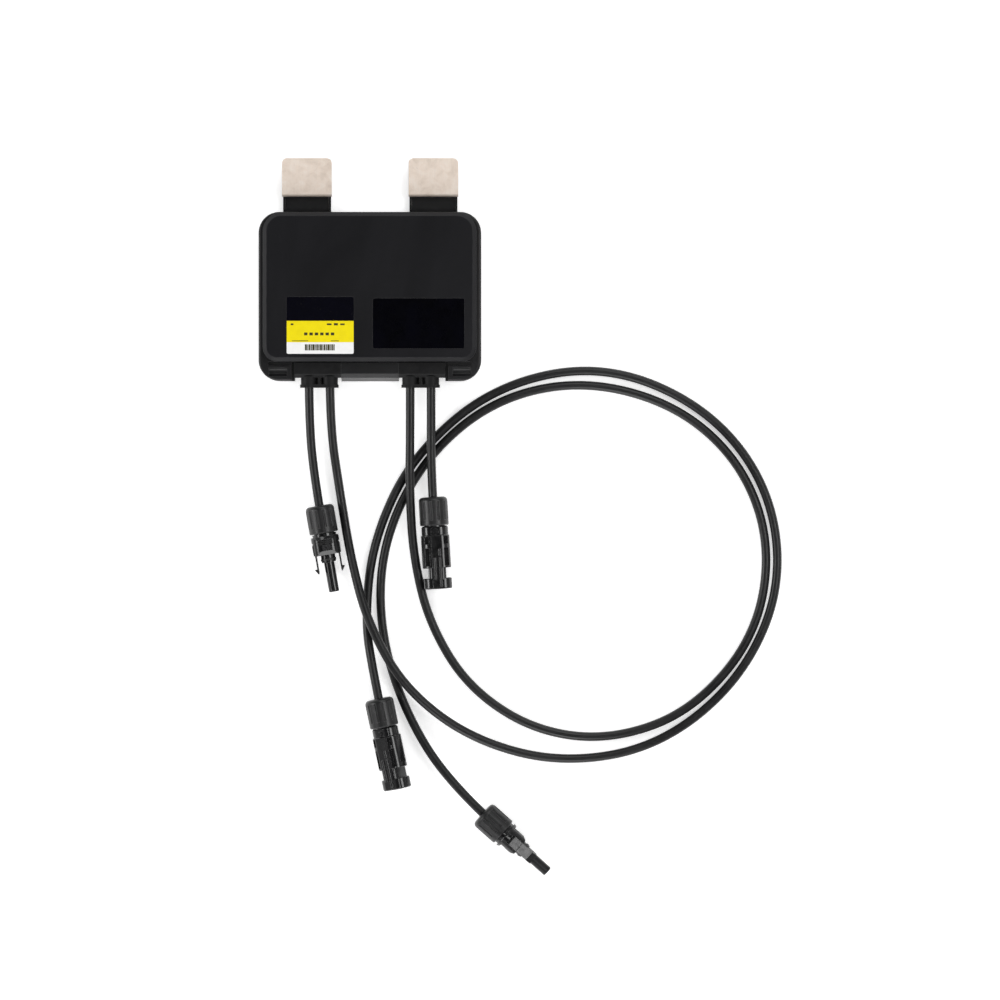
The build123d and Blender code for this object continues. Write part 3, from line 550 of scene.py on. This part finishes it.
def make_materials():
    """One material for each slot in the record, in place of the frame's own, and the nameplate's inks."""
    for material in list(bpy.data.materials):
        bpy.data.materials.remove(material)
    made = [
        case_plastic(), cover_plastic(), rating_print(), gland_rubber(), arm_coating(), clip_steel(),
        rivet_steel(), board_laminate(), potting(), ferrite(), copper_wire(), capacitor_can(),
        chip_black(), spreader_metal(), connector_plastic(), nut_plastic(), cable_jacket(),
        tinned("terminal_brass", (0.74, 0.70, 0.58), (0.60, 0.55, 0.42)),
        tinned("contact_metal", (0.80, 0.79, 0.77), (0.66, 0.64, 0.60)),
        plain_moulding("cage_plastic", 0.45, 0.0005, 0.014),
        plain_moulding("seal_rubber", 0.6, 0.0004, 0.016),
        plain_moulding("o_ring_rubber", 0.4, 0.0003, 0.010),
        printed_film("nameplate_black", (0.0012, 0.0012, 0.0040), (0.0008, 0.0008, 0.0026), specular=0.06),
        printed_film("nameplate_print", (0.88, 0.73, 0.0), (0.82, 0.67, 0.0)),
        printed_film("nameplate_white", (0.91, 0.91, 0.90), (0.85, 0.85, 0.84)),
        printed_film("nameplate_ink", (0.05, 0.045, 0.015), (0.03, 0.03, 0.01)),
    ]
    return {material.name: material for material in made}


def dress_nodes(materials):
    """Give every CAD node the material of its slot in the record."""
    for subpart in record["subparts"]:
        for slot in nodes[subpart["node"]].material_slots:
            slot.material = materials[subpart["material_slot"]]


# ---------------------------------------------------------------- nameplate
def add_mesh(name, mesh, materials):
    """Link a bmesh as an object with these materials."""
    bmesh.ops.recalc_face_normals(mesh, faces=mesh.faces)
    data = bpy.data.meshes.new(name)
    mesh.to_mesh(data)
    mesh.free()
    for material in materials:
        data.materials.append(material)
    piece = bpy.data.objects.new(name, data)
    bpy.context.scene.collection.objects.link(piece)
    return piece


def rounded_outline(low, high, radius, steps):
    """Points round a rectangle with rounded corners, anticlockwise from its south-east corner."""
    centres = [
        (high[0] - radius, low[1] + radius, -0.5 * math.pi),
        (high[0] - radius, high[1] - radius, 0.0),
        (low[0] + radius, high[1] - radius, 0.5 * math.pi),
        (low[0] + radius, low[1] + radius, math.pi),
    ]
    points = []
    for x, y, start in centres:
        for step in range(steps + 1):
            angle = start + 0.5 * math.pi * step / steps
            points.append((x + radius * math.cos(angle), y + radius * math.sin(angle)))
    return points


def add_slab(mesh, outline, bottom, top):
    """A closed slab on an outline."""
    base = mesh.faces.new([mesh.verts.new((x, y, bottom)) for x, y in outline])
    lifted = bmesh.ops.extrude_face_region(mesh, geom=[base])["geom"]
    raised = [item for item in lifted if isinstance(item, bmesh.types.BMVert)]
    bmesh.ops.translate(mesh, verts=raised, vec=(0, 0, top - bottom))


def make_nameplate(materials):
    """The printed label: a black, a yellow and a white band on one film."""
    low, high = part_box("nameplate_label")
    height = high.y - low.y
    levels = [low.y + share * height for share in yellow_band]
    mesh = bmesh.new()
    outline = rounded_outline(low, high, nameplate_corner, nameplate_corner_steps)
    add_slab(mesh, outline, low.z, high.z)
    for level in levels:
        everything = [*mesh.verts, *mesh.edges, *mesh.faces]
        bmesh.ops.bisect_plane(mesh, geom=everything, plane_co=(0, level, 0), plane_no=(0, 1, 0))
    for face in mesh.faces:
        face.material_index = sum(face.calc_center_median().y > level for level in levels)
    bands = [materials[name] for name in ("nameplate_white", "nameplate_print", "nameplate_black")]
    plate = add_mesh("nameplate", mesh, bands)
    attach(plate, "case")
    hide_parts("nameplate_label")


def ink_bars():
    """Plain printed bars in place of lettering, as shares of the nameplate: x from, x to, y from, y to."""
    bars = [
        (0.06, 0.10, 0.505, 0.535),
        (0.60, 0.67, 0.505, 0.535),
        (0.705, 0.765, 0.50, 0.54),
        (0.80, 0.865, 0.505, 0.535),
        (0.08, 0.32, 0.222, 0.234),
        (0.66, 0.78, 0.222, 0.234),
    ]
    return bars + title_blocks() + code_bars()


def title_blocks():
    """Six equal blocks in a row, where a title would stand."""
    first, step, width = 0.26, 0.080, 0.050
    starts = [first + step * number for number in range(6)]
    return [(start, start + width, 0.325, 0.375) for start in starts]


def code_bars():
    """A bar pattern that encodes nothing: widths in a fixed order, with a gap of one unit after each."""
    start, whole_width = 0.272, 0.45
    widths = (5, 2, 4, 3, 6, 2, 4, 3) * 2
    unit = whole_width / (sum(widths) + len(widths))
    bars = []
    for width in widths:
        bars.append((start, start + width * unit, 0.06, 0.168))
        start += (width + 1) * unit
    return bars


def make_nameplate_ink(material):
    """The printed bars, as thin raised slabs on the nameplate."""
    low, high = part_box("nameplate_label")
    size = high - low
    mesh = bmesh.new()
    for west, east, south, north in ink_bars():
        xs = (low.x + west * size.x, low.x + east * size.x)
        ys = (low.y + south * size.y, low.y + north * size.y)
        outline = [(xs[0], ys[0]), (xs[1], ys[0]), (xs[1], ys[1]), (xs[0], ys[1])]
        add_slab(mesh, outline, high.z - ink_thickness / 2, high.z + ink_thickness)
    ink = add_mesh("nameplate_ink", mesh, [material])
    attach(ink, "case")


# ---------------------------------------------------------------- studio
def make_floor():
    """A wide pale table under the object, glowing a little so that shadows stay faint."""
    mesh = bmesh.new()
    half = floor_half_side
    corners = [(-half, -half), (half, -half), (half, half), (-half, half)]
    add_slab(mesh, corners, -floor_thickness, -floor_gap)
    look = Look("floor_paper", (0.9, 0.9, 0.9), 0.8, specular=0.1)
    tone = look.ramp(look.noise(0.5, detail=2.0), (0.3, (0.89, 0.89, 0.89)), (0.7, (0.91, 0.91, 0.91)))
    look.shader.inputs["Emission Color"].default_value = (1.0, 1.0, 1.0, 1.0)
    look.shader.inputs["Emission Strength"].default_value = floor_glow
    floor = add_mesh("studio_floor", mesh, [look.paint(tone)])


# azimuth and tilt in degrees, distance and size in metres, power in watts
lights = {
    "south_light": (-100, 62, 2.3, 1.6, 28.0),
    "north_light": (75, 48, 2.2, 1.6, 15.0),
    "west_light": (178, 60, 2.2, 0.9, 16.0),
    "east_light": (5, 34, 2.2, 0.9, 13.0),
    "top_light": (-87, 7.5, 3.12, 0.45, 4.0),
}


def make_light(name, azimuth, tilt, distance, size, power):
    """A round soft light, at an azimuth from +X and a tilt from straight up, both in degrees."""
    around, down = math.radians(azimuth), math.radians(tilt)
    way = Vector((math.sin(down) * math.cos(around), math.sin(down) * math.sin(around), math.cos(down)))
    data = bpy.data.lights.new(name, "AREA")
    data.shape = "DISK"
    data.size = size
    data.energy = power
    light = bpy.data.objects.new(name, data)
    light.location = Vector((*camera_centre, 0.0)) + distance * way
    light.rotation_euler = way.to_track_quat("Z", "Y").to_euler()
    bpy.context.scene.collection.objects.link(light)


def make_world():
    """The walls of a light tent: bright low down, dark straight overhead."""
    world = bpy.data.worlds.new("studio_world")
    world.use_nodes = True
    shading = world.node_tree.nodes
    links = world.node_tree.links
    way = shading.new("ShaderNodeTexCoord")
    split = shading.new("ShaderNodeSeparateXYZ")
    rise = shading.new("ShaderNodeMapRange")
    rise.inputs["From Min"].default_value = wall_top
    rise.inputs["From Max"].default_value = ceiling_start
    rise.inputs["To Min"].default_value = wall_light
    rise.inputs["To Max"].default_value = overhead_light
    links.new(way.outputs["Generated"], split.inputs["Vector"])
    links.new(split.outputs["Z"], rise.inputs["Value"])
    links.new(rise.outputs["Result"], shading["Background"].inputs["Strength"])
    shading["Background"].inputs["Color"].default_value = (1.0, 1.0, 1.0, 1.0)
    bpy.context.scene.world = world


def make_studio():
    """Soft lights all round, stronger from the south, and a small one high above the connectors."""
    make_floor()
    for name, setting in lights.items():
        make_light(name, *setting)
    make_world()
    bpy.context.scene.view_settings.view_transform = "Standard"


# ---------------------------------------------------------------- build
make_camera()
materials = make_materials()
for lead_name in lead_routes:
    make_lead(lead_name, materials["cable_jacket"])
dress_nodes(materials)
make_nameplate(materials)
make_nameplate_ink(materials["nameplate_ink"])
make_studio()
